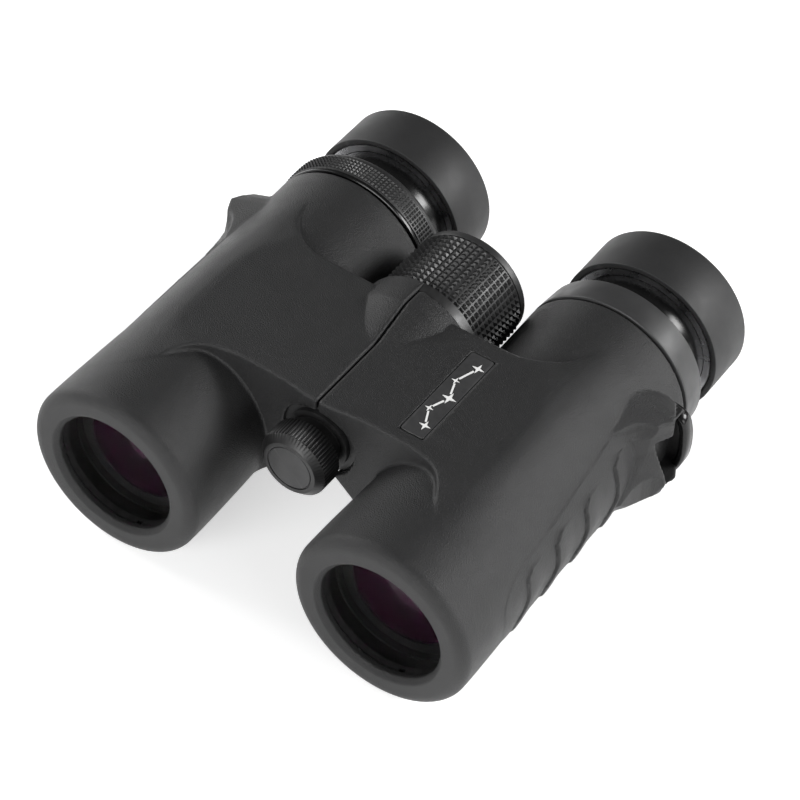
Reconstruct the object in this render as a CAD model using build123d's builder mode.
from build123d import *
from math import atan2, cos, degrees, hypot, radians, sin
import os

os.makedirs("parts", exist_ok=True)

# A closed-bridge roof-prism binocular of the 8x32 class, in millimetres.
# +Y runs from the objectives to the eyepieces and +Z is up. The user's left barrel is at +X.
# The origin is under the middle of the instrument, on the surface that it lies on.
# A station is a distance behind the front rims. A turned outline is a list of (radius, station).

# Overall
length = 129.0  # front rims to the rear of the raised eyecups
barrel_spacing = 75.0  # optical axes, with the hinge fully open
rest_radius = 23.6  # largest barrel radius, which stands on the surface
hinge_rise = 11.3  # hinge axis above the optical axes
running = 0.05  # radial clearance of a running fit

# Housings and armour
front_aperture = 16.1  # clear radius at the front rim
armour_end = 96.9
bridge_front = 29.6
bridge_rear = 69.0
plate_rise = 24.7  # flat top of the bridge above the optical axes
shell_radius = 22.8  # armour on the outer side of a barrel
scallop_radius = 22.0  # armour where the barrel shows beside the bridge
core_radius = 20.6  # outside of the hard housing
core_bore = 18.6
core_front = 2.9
cell_outer = 18.5
ring_seat = 4.7
rear_element_clear = 13.9
cage_front = 60.0
cage_rear = 88.0
armour_wall = 1.6  # on the bridge
half_gap = 0.25  # from each half to the plane between them

# Hinge
axle_radius = 6.0
axle_bore = 4.6
axle_front = 29.6
knuckle_radius = 9.7
knuckle_clearance = 10.0
front_knuckle = (31.0, 37.1)  # belongs to the right half, as the rear one does
inner_knuckle = (37.8, 44.0)  # belongs to the left half, as the outer one does
outer_knuckle = (56.0, 62.2)
rear_knuckle = (62.9, 70.0)
fold_edge = -60.0  # degrees below which a half is cut away so that the hinge can close

# Focusing
collar_radius = 16.4
collar_rear = 73.0
wheel_front = 73.4
knurl_rear = 92.9
wheel_rear = 95.4
wheel_radius = 15.2
grip_radius = 15.7
hub_bore = 7.1
lead_screw_radius = 2.5
focus_station = 50.0  # middle of the focusing lens's travel
groove_radius = 7.4
ring_radius = 9.3
fork_thickness = 2.0
rod_radius = 1.0
rod_reach = 16.3

# Eyepieces
ring_rear = 105.6
neck_radius = 20.0
neck_end = 105.9
dioptre_radius = 23.4
sleeve_radius = 18.1
sleeve_end = 120.8
flange_radius = 16.5  # ocular barrel's seat in the housing
cell_radius = 14.4
eyecup_front = 113.7
eyecup_radius = 21.7

# Tripod socket and its cap
cap_front = 18.3
cap_radius = 9.0
stud_radius = 3.0

# Strap lugs
lug_reach = 31.0  # from the optical axis
window_reach = 26.1
window_station = 86.3
bracket_reach = 26.7
bracket_station = 92.8

# Nameplate
nameplate_x = 22.75
nameplate_station = 48.5
nameplate_recess = 0.8

axis_x = barrel_spacing / 2
axis_z = rest_radius
hinge_z = axis_z + hinge_rise
front_y = -length / 2
sides = {"left": 1, "right": -1}
hinge_frame = Plane(origin=(0, front_y, hinge_z), x_dir=(1, 0, 0), z_dir=(0, 0, 1))


def barrel_frame(side):
    """A plane whose Y axis is a barrel's optical axis, with its origin at the front rim."""
    return Plane(origin=(side * axis_x, front_y, axis_z), x_dir=(1, 0, 0), z_dir=(0, 0, 1))


def section_frame(station, x=0.0, z=axis_z):
    """A plane across the instrument: its X is +X, its Y is +Z, and it faces forward."""
    return Plane(origin=(x, front_y + station, z), x_dir=(1, 0, 0), z_dir=(0, -1, 0))


def spin(frame, outline, mode=Mode.ADD):
    """Turns an outline about the frame's Y axis, inside a sub-part's block."""
    with BuildSketch(frame) as profile:
        with BuildLine():
            Polyline(*outline, close=True)
        make_face()
    revolve(profile.sketch, axis=Axis(frame.origin, frame.y_dir), mode=mode)


def tube(frame, outer, inner, start, end, mode=Mode.ADD):
    """A plain tube or rod about the frame's Y axis, inside a sub-part's block."""
    spin(frame, [(inner, start), (outer, start), (outer, end), (inner, end)], mode)


def turned(frame, outline):
    """A finished turned piece."""
    with BuildPart() as piece:
        spin(frame, outline)
    return piece.part


def lens(frame, radius, front, rear, front_bulge, rear_bulge):
    """A lens with its edge between two stations, and faces that bulge outwards from them."""
    with BuildPart() as glass:
        with BuildSketch(frame) as profile:
            with BuildLine():
                Line((radius, front), (radius, rear))
                ThreePointArc((radius, rear), (0, rear + rear_bulge), (-radius, rear))
                Line((-radius, rear), (-radius, front))
                ThreePointArc((-radius, front), (0, front - front_bulge), (radius, front))
            make_face()
            with Locations((-radius, (front + rear) / 2)):
                Rectangle(2 * radius, 4 * radius, mode=Mode.SUBTRACT)
        revolve(profile.sketch, axis=Axis(frame.origin, frame.y_dir))
    return glass.part


def save(piece, name):
    piece.label = name
    export_step(piece, f"parts/{name}.step")


def half_section(armoured, station):
    """The left half's cross-section through bridge and barrel, with the rubber armour or without it."""
    radius = shell_radius if armoured else core_radius
    top = plate_rise if armoured else plate_rise - armour_wall
    root = knuckle_clearance + (0.6 if armoured else 1.4)
    root_angle = radians(fold_edge if armoured else fold_edge + 8)
    top_end = (axis_x + 3.5, top)

    def on_barrel(degrees):
        angle = radians(degrees)
        return (axis_x + radius * cos(angle), radius * sin(angle))

    turn_in = 35
    along = (sin(radians(turn_in)), -cos(radians(turn_in)))
    with BuildSketch(section_frame(station)) as profile:
        with BuildLine():
            Polyline((half_gap, hinge_rise), (half_gap, top), top_end)
            Spline(top_end, on_barrel(turn_in), tangents=((1, 0), along))
            ThreePointArc(on_barrel(turn_in), on_barrel(-55), on_barrel(-145))
            foot = (root * cos(root_angle), hinge_rise + root * sin(root_angle))
            Polyline(on_barrel(-145), foot, (half_gap, hinge_rise))
        make_face()
    return profile.sketch


def bridge_plan(armoured):
    """The left bridge from above: its front and rear edges arch over the barrel and run out along it."""
    front = bridge_front if armoured else bridge_front + 1.4
    rear = bridge_rear if armoured else bridge_rear - 1.0
    out_x = axis_x + 40
    front_arch = [(24, front), (31, front - 1), (35.3, front - 5), (39, front - 11), (44, front - 16)]
    rear_arch = [(45, rear + 24), (41, rear + 12), (37.3, rear + 5), (31, rear + 1), (26, rear)]
    shell_front = front - 18.4  # leaves the whole rim clear for a slip-on cap
    outer_edge = [(52, shell_front), (out_x, shell_front), (out_x, rear + 40), (45, rear + 40)]

    def place(points):
        return [(x, front_y + station) for x, station in points]

    with BuildSketch() as outline:
        with BuildLine():
            Polyline(*place([rear_arch[-1], (0, rear), (0, front), front_arch[0]]))
            Spline(*place(front_arch), tangents=((1, 0), (1, -0.5)))
            Polyline(*place([front_arch[-1]] + outer_edge + [rear_arch[0]]))
            Spline(*place(rear_arch), tangents=((-0.3, -1), (-1, 0)))
        make_face()
    return outline.sketch


def hood(skin):
    """The left half of the ramp that rises from the bridge to the focus wheel's collar."""
    ramp = [(13.0, 51.0), (17.0, 64.5), (17.0, 68.8), (collar_radius, rear_knuckle[1])]
    outline = [(radius - skin, station) for radius, station in ramp]
    with BuildPart() as half_ramp:
        spin(hinge_frame, outline + [(0, rear_knuckle[1]), (0, 51.0)])
        with BuildSketch(section_frame(45, 0, hinge_z)) as sector:
            with BuildLine():
                Polyline((half_gap, 4), (half_gap, 25), (25, 25), (14, 9), close=True)
            make_face()
        extrude(sector.sketch, amount=-30, mode=Mode.INTERSECT)
    return half_ramp.part


def half_body(armoured):
    """Barrel, bridge and hood of the left half, before the hinge and the bores are cut."""
    skin = 0 if armoured else armour_wall
    front_of_body = 6.0
    with BuildPart() as body:
        extrude(half_section(armoured, front_of_body), amount=front_of_body - armour_end)
        extrude(bridge_plan(armoured), amount=4 * rest_radius, mode=Mode.INTERSECT)
        radius = scallop_radius if armoured else core_radius
        tube(barrel_frame(1), radius, 0, core_front, armour_end)
        add(hood(skin))
    return body.part


def clear_hinge(start, end):
    """Opens the left half round the hinge, inside its block, where the other half's pieces turn."""
    tube(hinge_frame, knuckle_clearance, 0, start, end, Mode.SUBTRACT)
    edge = radians(fold_edge)
    with BuildSketch(section_frame(start, 0, hinge_z)) as below:
        with BuildLine():
            Polyline((0, 0), (20 * cos(edge), 20 * sin(edge)), (-20, -20), close=True)
        make_face()
    extrude(below.sketch, amount=start - end, mode=Mode.SUBTRACT)


def save_half(piece, name, side_name):
    """Writes a piece that was drawn on the left, mirrored if it belongs to the right."""
    side_piece = piece if side_name == "left" else mirror(piece, about=Plane.YZ)
    save(side_piece, f"{side_name}_{name}")


def build_housings():
    """The hard shell of each half, with its hinge knuckles, its bores and the window for the lens arm."""
    own = {"left": (inner_knuckle, outer_knuckle), "right": (front_knuckle, rear_knuckle)}
    gaps = {
        "left": [(28.0, inner_knuckle[0]), (inner_knuckle[1], outer_knuckle[0]), (outer_knuckle[1], 71.0)],
        "right": [(28.0, front_knuckle[0]), (front_knuckle[1], rear_knuckle[0])],
    }
    shell = half_body(False)
    frame = barrel_frame(1)
    for name in sides:
        axle_fit = running if name == "left" else 0
        with BuildPart() as housing:
            add(shell)
            for start, end in gaps[name]:
                clear_hinge(start, end)
            for start, end in own[name]:
                tube(hinge_frame, knuckle_radius, 0, start, end)
            tube(hinge_frame, axle_radius + axle_fit, 0, 28, 71, Mode.SUBTRACT)
            tube(frame, core_bore, 0, core_front - 1, 90.0, Mode.SUBTRACT)
            tube(frame, flange_radius, 0, 89.0, armour_end + 1, Mode.SUBTRACT)
            with BuildSketch(section_frame(focus_station - 4)) as window:
                with BuildLine():
                    reach = Line((0, hinge_rise), (axis_x, 0))
                    offset(reach, amount=3.6, side=Side.BOTH)
                make_face()
            extrude(window.sketch, amount=-8, mode=Mode.SUBTRACT)
        save_half(housing.part, "housing", name)


def build_armour():
    """The rubber covering of each half, with its rolled front rim, strap lug and hinge recess."""
    rim = [
        (0, 0),
        (20.4, 0),
        (22.6, 1.2),
        (rest_radius, 4.0),
        (rest_radius, 10.5),
        (scallop_radius, 20.0),
        (0, 20.0),
    ]
    inner = axis_x + 15
    reach = axis_x + lug_reach
    lug_plan = [(inner, 62), (59.5, 64), (64.5, 74), (reach, 81), (reach, 88), (66.0, 94.5), (inner, 96.4)]
    shell = half_body(True)
    core = half_body(False)
    frame = barrel_frame(1)
    for name in sides:
        with BuildPart() as armour:
            add(shell)
            with BuildSketch(Plane.XY.offset(axis_z - 7)) as lug:
                with BuildLine():
                    Polyline(*[(x, front_y + y) for x, y in lug_plan], close=True)
                make_face()
            extrude(lug.sketch, amount=14)
            spin(frame, rim)
            add(core, mode=Mode.SUBTRACT)
            tube(frame, core_bore, 0, core_front, armour_end, Mode.SUBTRACT)
            tube(frame, front_aperture, 0, -1, core_front, Mode.SUBTRACT)
            spin(frame, [(0, -1), (18.4, -1), (front_aperture, 1.3), (0, 1.3)], Mode.SUBTRACT)
            tube(hinge_frame, knuckle_clearance, 0, 28, 71, Mode.SUBTRACT)
            with BuildSketch(Plane.XY.offset(axis_z - 12)) as window:
                with Locations((axis_x + window_reach, front_y + window_station)):
                    Rectangle(5.2, 8.8)
            extrude(window.sketch, amount=24, mode=Mode.SUBTRACT)
            with BuildSketch(Plane.XY.offset(axis_z - 12)) as bracket_seat:
                with Locations((axis_x + bracket_reach + 0.3, front_y + bracket_station)):
                    Rectangle(9.4, 4.2)
            extrude(bracket_seat.sketch, amount=24, mode=Mode.SUBTRACT)
            if name == "left":
                with BuildSketch(Plane.XY.offset(axis_z + plate_rise - nameplate_recess)) as badge_seat:
                    with Locations((nameplate_x, front_y + nameplate_station)):
                        RectangleRounded(6.5, 30.3, 0.9)
                extrude(badge_seat.sketch, amount=2, mode=Mode.SUBTRACT)
        save_half(armour.part, "armour", name)


def build_objectives():
    """Cemented front doublet, rear element, their cell and the notched ring that holds them."""
    for name, side in sides.items():
        frame = barrel_frame(side)
        cell = [
            (17.2, ring_seat),
            (cell_outer, ring_seat),
            (cell_outer, 34.0),
            (15.0, 34.0),
            (15.0, 11.5),
            (rear_element_clear, 11.5),
            (rear_element_clear, 10.9),
            (16.5, 10.9),
            (16.5, 9.0),
            (17.2, 9.0),
        ]
        save(turned(frame, cell), f"{name}_objective_cell")

        with BuildPart() as retaining_ring:
            tube(frame, cell_outer, front_aperture + 0.15, core_front, ring_seat)
            with BuildSketch(section_frame(core_front, side * axis_x)) as notches:
                with PolarLocations(front_aperture, 2, start_angle=-70):
                    Rectangle(2.4, 1.6)
            extrude(notches.sketch, amount=-1.0, mode=Mode.SUBTRACT)
        save(retaining_ring.part, f"{name}_objective_retaining_ring")

        crown = lens(frame, 17.1, 4.9, 6.6, 1.2, 1.4)
        flint = lens(frame, 17.1, 6.6, 8.95, -1.4, 0.5)
        save(Compound(children=[crown, flint]), f"{name}_objective_doublet")
        save(lens(frame, 14.9, 11.6, 13.6, 0.6, 0.5), f"{name}_objective_rear_lens")


def build_focusing_lenses():
    """The lens cell that slides on two rods, with the arm and fork that carry it to the hinge."""
    arm_angle = -degrees(atan2(hinge_rise, axis_x))
    arm_length = hypot(hinge_rise, axis_x)
    fork_reach = 42
    for name, side in sides.items():
        with BuildPart() as cell:
            with BuildSketch(section_frame(focus_station - fork_thickness / 2)) as arm:
                with BuildLine():
                    tips = [radians(arm_angle + turn) for turn in (fork_reach, -fork_reach)]
                    ends = [(14 * cos(tip), hinge_rise + 14 * sin(tip)) for tip in tips]
                    Polyline((0, hinge_rise), *ends, close=True)
                make_face()
                with Locations((0, hinge_rise)):
                    Circle(ring_radius + 0.3, mode=Mode.INTERSECT)
                with Locations((axis_x * 0.42, hinge_rise * 0.58)):
                    Rectangle(arm_length * 0.5, 4.4, rotation=arm_angle)
                with Locations((axis_x, 0)):
                    Circle(13.2)
                    Circle(11.1, mode=Mode.SUBTRACT)
                with Locations((0, hinge_rise)):
                    Circle(groove_radius + 0.25, mode=Mode.SUBTRACT)
            extrude(arm.sketch, amount=-fork_thickness)
            tube(barrel_frame(1), 13.2, 11.1, focus_station - 2.5, focus_station + 2.5)
            with BuildSketch(section_frame(focus_station - 2, axis_x)) as ears:
                with GridLocations(0, 2 * rod_reach - 3, 1, 2):
                    RectangleRounded(4.0, 6.6, 1.5)
                Circle(12.0, mode=Mode.SUBTRACT)
                with GridLocations(0, 2 * rod_reach, 1, 2):
                    Circle(rod_radius + running, mode=Mode.SUBTRACT)
            extrude(ears.sketch, amount=-4)
            tube(barrel_frame(1), 11.1, 0, focus_station - 3, focus_station + 3, Mode.SUBTRACT)
        save_half(cell.part, "focusing_cell", name)

        glass = lens(barrel_frame(side), 11.1, focus_station - 1.3, focus_station + 1.3, -0.6, 0.4)
        save(glass, f"{name}_focusing_lens")

        with BuildPart() as rods:
            with BuildSketch(section_frame(34.0, side * axis_x)) as rod_ends:
                with GridLocations(0, 2 * rod_reach, 1, 2):
                    Circle(rod_radius)
            extrude(rod_ends.sketch, amount=-(cage_front - 34.0))
        save(rods.part, f"{name}_guide_rods")


def build_prisms():
    """A half-penta prism and a roof prism in each barrel, in a cage with a spring clip."""
    half_width = 9.5
    for name, side in sides.items():
        frame = barrel_frame(side)
        upright = Plane(
            origin=(side * axis_x - half_width, front_y, axis_z), x_dir=(0, 1, 0), z_dir=(1, 0, 0)
        )
        with BuildPart() as cage:
            tube(frame, cell_outer, 0, cage_front, cage_rear)
            with BuildSketch(section_frame(cage_front + 1.5, side * axis_x)) as channel:
                Rectangle(2 * half_width + 0.1, 31.0)
            extrude(channel.sketch, amount=-(cage_rear - cage_front - 3.2), mode=Mode.SUBTRACT)
            tube(frame, 9.0, 0, cage_front - 1, cage_rear + 1, Mode.SUBTRACT)
        save(cage.part, f"{name}_prism_cage")

        with BuildPart() as half_penta:
            with BuildSketch(upright) as profile:
                with BuildLine():
                    Polyline((61.6, -9.5), (61.6, 9.5), (67.8, 12.0), (77.3, -9.5), close=True)
                make_face()
            extrude(profile.sketch, amount=2 * half_width)
        save(half_penta.part, f"{name}_half_penta_prism")

        with BuildPart() as roof:
            with BuildSketch(upright) as profile:
                with BuildLine():
                    corners = [(68.5, 12.0), (78.1, -9.5), (86.1, -9.5), (86.1, 9.5), (77.5, 14.0)]
                    Polyline(*corners, close=True)
                make_face()
            extrude(profile.sketch, amount=2 * half_width)
            with BuildSketch(section_frame(60, side * axis_x)) as gable:
                with BuildLine():
                    eaves = half_width - 5.0
                    walls = [(-half_width, -half_width), (half_width, -half_width), (half_width, eaves)]
                    Polyline(*walls, (0, 14.0), (-half_width, eaves), close=True)
                make_face()
            extrude(gable.sketch, amount=-30, mode=Mode.INTERSECT)
        save(roof.part, f"{name}_roof_prism")

        with BuildPart() as clip:
            with BuildSketch(Plane.XY.offset(axis_z - half_width - 0.6)) as strip:
                with Locations((side * axis_x, front_y + 74)):
                    RectangleRounded(7.0, 20.0, 2.0)
            extrude(strip.sketch, amount=0.6)
        save(clip.part, f"{name}_prism_clip")


def build_eyepieces():
    """Ocular barrels with their lens cells, the rings round their necks, and the twist-up eyecups."""
    for name, side in sides.items():
        frame = barrel_frame(side)
        barrel = [
            (cell_radius, 90.0),
            (flange_radius, 90.0),
            (flange_radius, armour_end),
            (neck_radius, armour_end),
            (neck_radius, neck_end - 0.3),
            (neck_radius - 0.3, neck_end),
            (sleeve_radius, neck_end),
            (sleeve_radius, sleeve_end),
            (cell_radius, sleeve_end),
        ]
        save(turned(frame, barrel), f"{name}_ocular_barrel")

        lens_radius = 12.0
        cell = [(lens_radius, 93.5), (cell_radius - running, 93.5), (cell_radius - running, 119.0)]
        save(turned(frame, cell + [(lens_radius, 119.0)]), f"{name}_ocular_cell")
        save(lens(frame, lens_radius, 95.0, 98.0, 1.4, 1.4), f"{name}_field_lens")
        inner = lens(frame, lens_radius, 112.5, 114.5, 1.6, 1.2)
        outer = lens(frame, lens_radius, 114.5, 116.8, -1.2, 1.0)
        save(Compound(children=[inner, outer]), f"{name}_eye_lens")

        tube_inner = sleeve_radius + 2 * running
        tube_outer = neck_radius
        tube_front = eyecup_front + 0.8
        tube_rear = 127.4
        cup = [
            (tube_outer, tube_front),
            (tube_outer + 0.4, tube_front),
            (tube_outer + 0.4, eyecup_front),
            (eyecup_radius, eyecup_front),
            (eyecup_radius, length - 1.1),
            (eyecup_radius - 0.3, length - 0.4),
            (eyecup_radius - 0.9, length),
            (19.6, length),
            (18.6, length - 0.6),
            (18.3, tube_rear),
            (tube_outer, tube_rear),
        ]
        save(turned(frame, cup), f"{name}_eyecup")
        sleeve = [(tube_inner, tube_front), (tube_outer, tube_front), (tube_outer, tube_rear)]
        save(turned(frame, sleeve + [(tube_inner, tube_rear)]), f"{name}_eyecup_tube")
        click_ring = [(tube_inner, eyecup_front + 0.2), (tube_outer - 0.1, eyecup_front + 0.2)]
        click_ring += [(tube_outer - 0.1, tube_front - 0.1), (tube_inner, tube_front - 0.1)]
        save(turned(frame, click_ring), f"{name}_eyecup_click_ring")

    plain_ring = [(neck_radius, 97.1), (23.0, 97.1), (22.4, ring_rear), (neck_radius, ring_rear)]
    save(turned(barrel_frame(1), plain_ring), "left_eyepiece_ring")
    index_ring = [(neck_radius, 97.1), (22.9, 97.1), (22.9, 98.1), (neck_radius, 98.1)]
    save(turned(barrel_frame(-1), index_ring), "right_eyepiece_ring")
    bore = neck_radius + running
    diopter_ring = [(bore, 98.25), (dioptre_radius, 98.25), (dioptre_radius, 103.6), (22.2, ring_rear)]
    save(turned(barrel_frame(-1), diopter_ring + [(bore, ring_rear)]), "right_diopter_ring")


def build_hinge():
    """The hollow axle on which the halves turn, its washers and the collar behind it."""
    with BuildPart() as axle:
        tube(hinge_frame, axle_radius, axle_bore, axle_front, 72.0)
        tube(hinge_frame, 8.2, axle_bore, axle_front, front_knuckle[0])
        with BuildSketch(Plane.XY.offset(hinge_z - 8)) as slot:
            with Locations((0, front_y + focus_station)):
                Rectangle(2.2, 6.6)
        extrude(slot.sketch, amount=16, mode=Mode.SUBTRACT)
    save(axle.part, "hinge_axle")

    with BuildPart() as washers:
        for start in (front_knuckle[1], outer_knuckle[1]):
            tube(hinge_frame, 9.4, axle_radius + running, start + running, start + 0.65)
    save(washers.part, "hinge_washers")

    collar = [
        (axle_radius, 70.0),
        (knuckle_radius, 70.0),
        (knuckle_radius, 70.2),
        (collar_radius, 70.2),
        (collar_radius, collar_rear),
        (7.0, collar_rear),
        (7.0, 90.0),
        (4.0, 90.0),
        (4.0, 72.0),
        (axle_radius, 72.0),
    ]
    save(turned(hinge_frame, collar), "focus_collar")


def build_focus_drive():
    """The focus wheel with its lead screw, and the nut and grooved ring that carry the lens forks."""
    hub = [
        (hub_bore, wheel_front),
        (13.4, wheel_front),
        (13.4, knurl_rear),
        (wheel_radius, knurl_rear),
        (wheel_radius, wheel_rear - 0.9),
        (wheel_radius - 0.9, wheel_rear),
        (9.6, wheel_rear),
        (9.6, 94.2),
        (lead_screw_radius, 94.2),
        (lead_screw_radius, 90.6),
        (hub_bore, 90.6),
    ]
    save(turned(hinge_frame, hub), "focus_wheel_hub")
    with BuildPart() as grip:
        tube(hinge_frame, grip_radius, 13.4, wheel_front, knurl_rear)
    save(grip.part, "focus_wheel_grip")
    with BuildPart() as cap:
        tube(hinge_frame, 9.5, 0, 94.2, 95.2)
    save(cap.part, "focus_wheel_cap")
    with BuildPart() as screw:
        tube(hinge_frame, lead_screw_radius, 0, 40.0, 94.2)
    save(screw.part, "focus_screw")

    peg_radius = 1.0
    peg_reach = groove_radius - 0.1
    with BuildPart() as nut:
        tube(hinge_frame, axle_bore - 0.1, 0, focus_station - 3.5, focus_station + 3.5)
        with BuildSketch(Plane.XY.offset(hinge_z - peg_reach)) as pegs:
            with Locations((0, front_y + focus_station)):
                Circle(peg_radius)
        extrude(pegs.sketch, amount=2 * peg_reach)
        tube(hinge_frame, lead_screw_radius + running, 0, 40, 60, Mode.SUBTRACT)
    save(nut.part, "focus_nut")

    ring = [
        (axle_radius + running, focus_station - 2.1),
        (ring_radius, focus_station - 2.1),
        (ring_radius, focus_station - 1.15),
        (groove_radius, focus_station - 1.15),
        (groove_radius, focus_station + 1.15),
        (ring_radius, focus_station + 1.15),
        (ring_radius, focus_station + 2.1),
        (axle_radius + running, focus_station + 2.1),
    ]
    with BuildPart() as grooved_ring:
        spin(hinge_frame, ring)
        with BuildSketch(Plane.XY.offset(hinge_z - peg_reach)) as peg_holes:
            with Locations((0, front_y + focus_station)):
                Circle(peg_radius)
        extrude(peg_holes.sketch, amount=2 * peg_reach, mode=Mode.SUBTRACT)
    save(grooved_ring.part, "focus_ring")


def build_tripod_socket():
    """The threaded socket in the front of the axle, and the knurled cap that closes it."""
    with BuildPart() as socket:
        tube(hinge_frame, axle_bore, stud_radius + running, axle_front, 38.0)
    save(socket.part, "tripod_socket")
    washer_front = axle_front - 0.7
    cap = [
        (0, cap_front + 0.3),
        (6.1, cap_front + 0.3),
        (6.1, cap_front),
        (7.17, cap_front),
        (cap_radius, 20.2),
        (cap_radius, 25.6),
        (7.0, 26.4),
        (7.0, washer_front),
        (stud_radius, washer_front),
        (stud_radius, 36.0),
        (0, 36.0),
    ]
    save(turned(hinge_frame, cap), "tripod_cap")
    with BuildPart() as disc:
        tube(hinge_frame, 6.0, 0, cap_front + 0.05, cap_front + 0.3)
    save(disc.part, "tripod_cap_disc")
    with BuildPart() as washer:
        tube(hinge_frame, 6.4, stud_radius + running, washer_front, axle_front)
    save(washer.part, "tripod_cap_washer")


def build_trim():
    """The strap brackets on the outer sides and the nameplate on the left half."""
    for name in sides:
        with BuildPart() as bracket:
            with BuildSketch(Plane.XY.offset(axis_z - 6.6)) as bar:
                with Locations((axis_x + bracket_reach, front_y + bracket_station)):
                    RectangleRounded(8.6, 4.1, 1.2)
            extrude(bar.sketch, amount=13.2)
        save_half(bracket.part, "strap_bracket", name)
    with BuildPart() as nameplate:
        with BuildSketch(Plane.XY.offset(axis_z + plate_rise - nameplate_recess)) as plate:
            with Locations((nameplate_x, front_y + nameplate_station)):
                RectangleRounded(6.2, 30.0, 0.8)
        extrude(plate.sketch, amount=0.7)
    save(nameplate.part, "nameplate")


build_housings()
build_armour()
build_objectives()
build_focusing_lenses()
build_prisms()
build_eyepieces()
build_hinge()
build_focus_drive()
build_tripod_socket()
build_trim()
